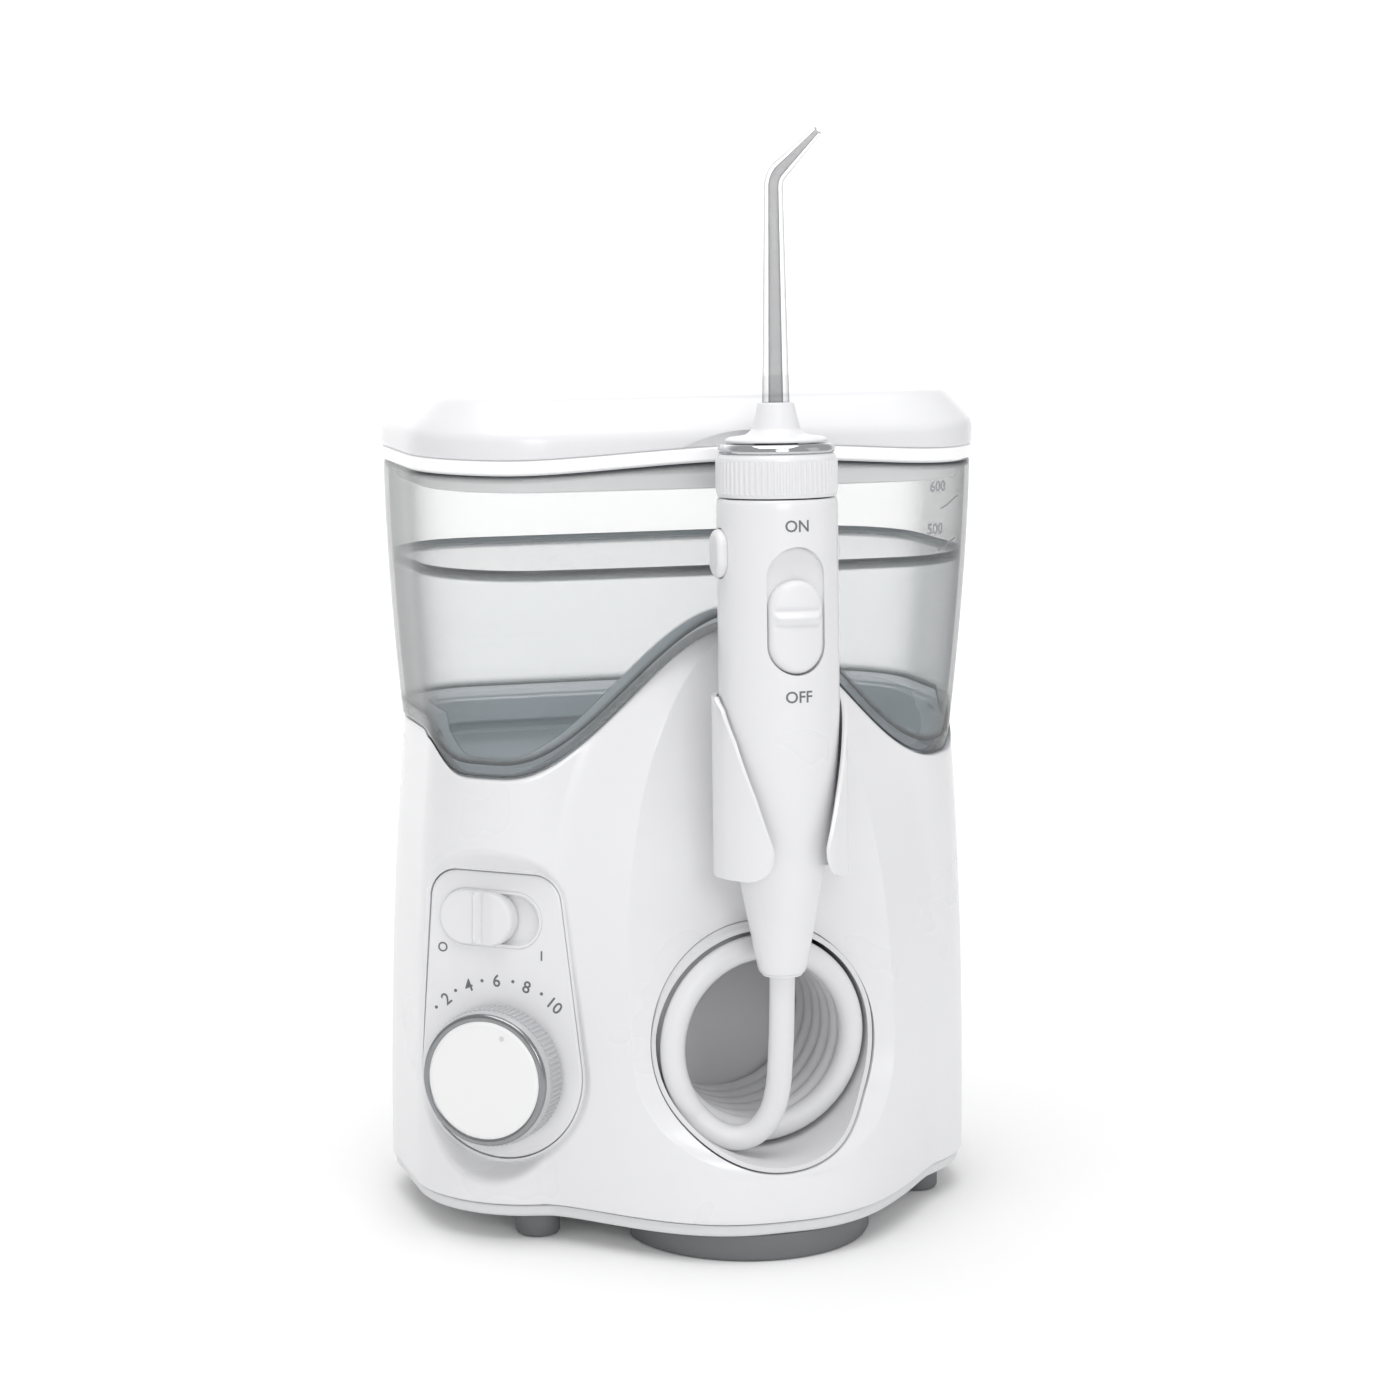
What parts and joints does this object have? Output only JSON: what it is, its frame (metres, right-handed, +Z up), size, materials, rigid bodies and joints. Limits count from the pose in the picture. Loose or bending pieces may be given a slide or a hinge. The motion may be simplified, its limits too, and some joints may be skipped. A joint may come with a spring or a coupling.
{
  "type": "water flosser",
  "caption": "Counter-top water flosser: white base with a pressure dial, clear reservoir with a hinged lid, handle with a bent jet tip and a coiled hose.",
  "frame": {"origin": "centre of the whole object's box on the table", "axes": "+Z up, the front with the dial and handle faces -Y, +X to the right seen from the front"},
  "size_m": [0.1348, 0.1119, 0.2465],
  "materials": {
    "white_gloss": "white moulded plastic, glossy",
    "grey_matte": "light grey plastic",
    "dark_matte": "dark plastic",
    "foot_rubber": "grey non-slip foot",
    "black_rubber": "black seal",
    "white_hose": "smooth white flexible hose",
    "clear_tube": "milky tubing",
    "clear_tip": "clear plastic",
    "smoke_clear": "smoke-clear plastic",
    "steel": "plain steel",
    "chrome_trim": "polished chrome ring",
    "silver_trim": "silver-grey plastic",
    "brass_pinion": "brass",
    "green_board": "circuit board"
  },
  "bodies": {
    "base": {"base_housing": "white_gloss", "bottom_cover": "grey_matte", "front_foot": "foot_rubber", "corner_feet": "foot_rubber", "handle_cradle": "white_gloss", "control_panel": "white_gloss", "cavity_liner": "grey_matte", "hose_fitting": "grey_matte", "motor": "steel", "motor_bracket": "grey_matte", "pump_body": "grey_matte", "pump_head": "grey_matte", "inlet_seal": "black_rubber", "inlet_tube": "clear_tube", "outlet_tube": "clear_tube", "regulator_body": "grey_matte", "circuit_board": "green_board", "power_supply": "dark_matte", "switch_module": "dark_matte", "cord_gland": "black_rubber", "housing_screws": "steel", "hose_coil": "white_hose", "hose_lead": "white_hose"},
    "tank": {"reservoir": "smoke_clear", "reservoir_valve": "grey_matte"},
    "lid": {"lid_tray": "white_gloss", "hinge_pins": "steel"},
    "lid_cover": {"storage_cover": "white_gloss"},
    "dial": {"pressure_dial": "silver_trim", "dial_cap": "white_gloss", "dial_ring": "silver_trim", "regulator_spindle": "steel"},
    "switch_slider": {"power_switch": "white_gloss"},
    "handle": {"handle_shell": "white_gloss", "handle_valve": "grey_matte", "nose_fitting": "white_gloss", "button_spring": "steel"},
    "flow_slider": {"flow_switch": "white_gloss"},
    "tip_button": {"eject_button": "white_gloss"},
    "collar": {"tip_collar": "white_gloss", "chrome_ring": "chrome_trim"},
    "tip": {"tip_hub": "white_gloss", "jet_tip": "clear_tip", "tip_seal": "black_rubber"},
    "pinion": {"motor_pinion": "brass_pinion"},
    "crank": {"crank_gear": "grey_matte"},
    "plunger": {"piston": "grey_matte", "piston_seal": "black_rubber"}
  },
  "joints": [
    {"name": "reservoir_lift", "type": "slide", "parent": "base", "child": "tank", "axis": [0, 0, 1], "range_m": [0, 0.08]},
    {"name": "lid_lift", "type": "slide", "parent": "tank", "child": "lid", "axis": [0, 0, 1], "range_m": [0, 0.04]},
    {"name": "cover_hinge", "type": "hinge", "parent": "lid", "child": "lid_cover", "pos_m": [0, 0.0528, 0.1756], "axis": [-1, 0, 0], "range_deg": [0, 95]},
    {"name": "dial_turn", "type": "hinge", "parent": "base", "child": "dial", "pos_m": [-0.0504, -0.0116, 0.038], "axis": [-0.6287, -0.7764, 0.0436], "range_deg": [-18, 66]},
    {"name": "power_switch_slide", "type": "slide", "parent": "base", "child": "switch_slider", "axis": [0.7771, -0.6293, 0], "range_m": [0, 0.006]},
    {"name": "handle_lift", "type": "slide", "parent": "base", "child": "handle", "axis": [0, 0.0454, 0.999], "range_m": [0, 0.035]},
    {"name": "flow_switch_slide", "type": "slide", "parent": "handle", "child": "flow_slider", "axis": [0, 0.0454, 0.999], "range_m": [0, 0.0065]},
    {"name": "eject_press", "type": "slide", "parent": "handle", "child": "tip_button", "axis": [1, 0, 0], "range_m": [0, 0.0015], "stiffness_N_per_m": 800, "springref_m": -0.0005, "deforming": ["button_spring"]},
    {"name": "collar_turn", "type": "hinge", "parent": "handle", "child": "collar", "pos_m": [0.0045, -0.0446, 0.0644], "axis": [0, 0.0454, 0.999], "continuous": true},
    {"name": "tip_pull", "type": "slide", "parent": "collar", "child": "tip", "axis": [0, 0.0454, 0.999], "range_m": [0, 0.02]},
    {"name": "crank_spin", "type": "hinge", "parent": "base", "child": "crank", "pos_m": [0, 0.028, 0.0501], "axis": [1, 0, 0], "continuous": true},
    {"name": "pinion_spin", "type": "hinge", "parent": "base", "child": "pinion", "pos_m": [0, 0.028, 0.03], "axis": [1, 0, 0], "continuous": true},
    {"name": "piston_slide", "type": "slide", "parent": "base", "child": "plunger", "axis": [0, 0, 1], "range_m": [-0.006, 0.006]}
  ],
  "couplings": [
    {"joint": "pinion_spin", "follows": "crank_spin", "ratio": -4}
  ]
}
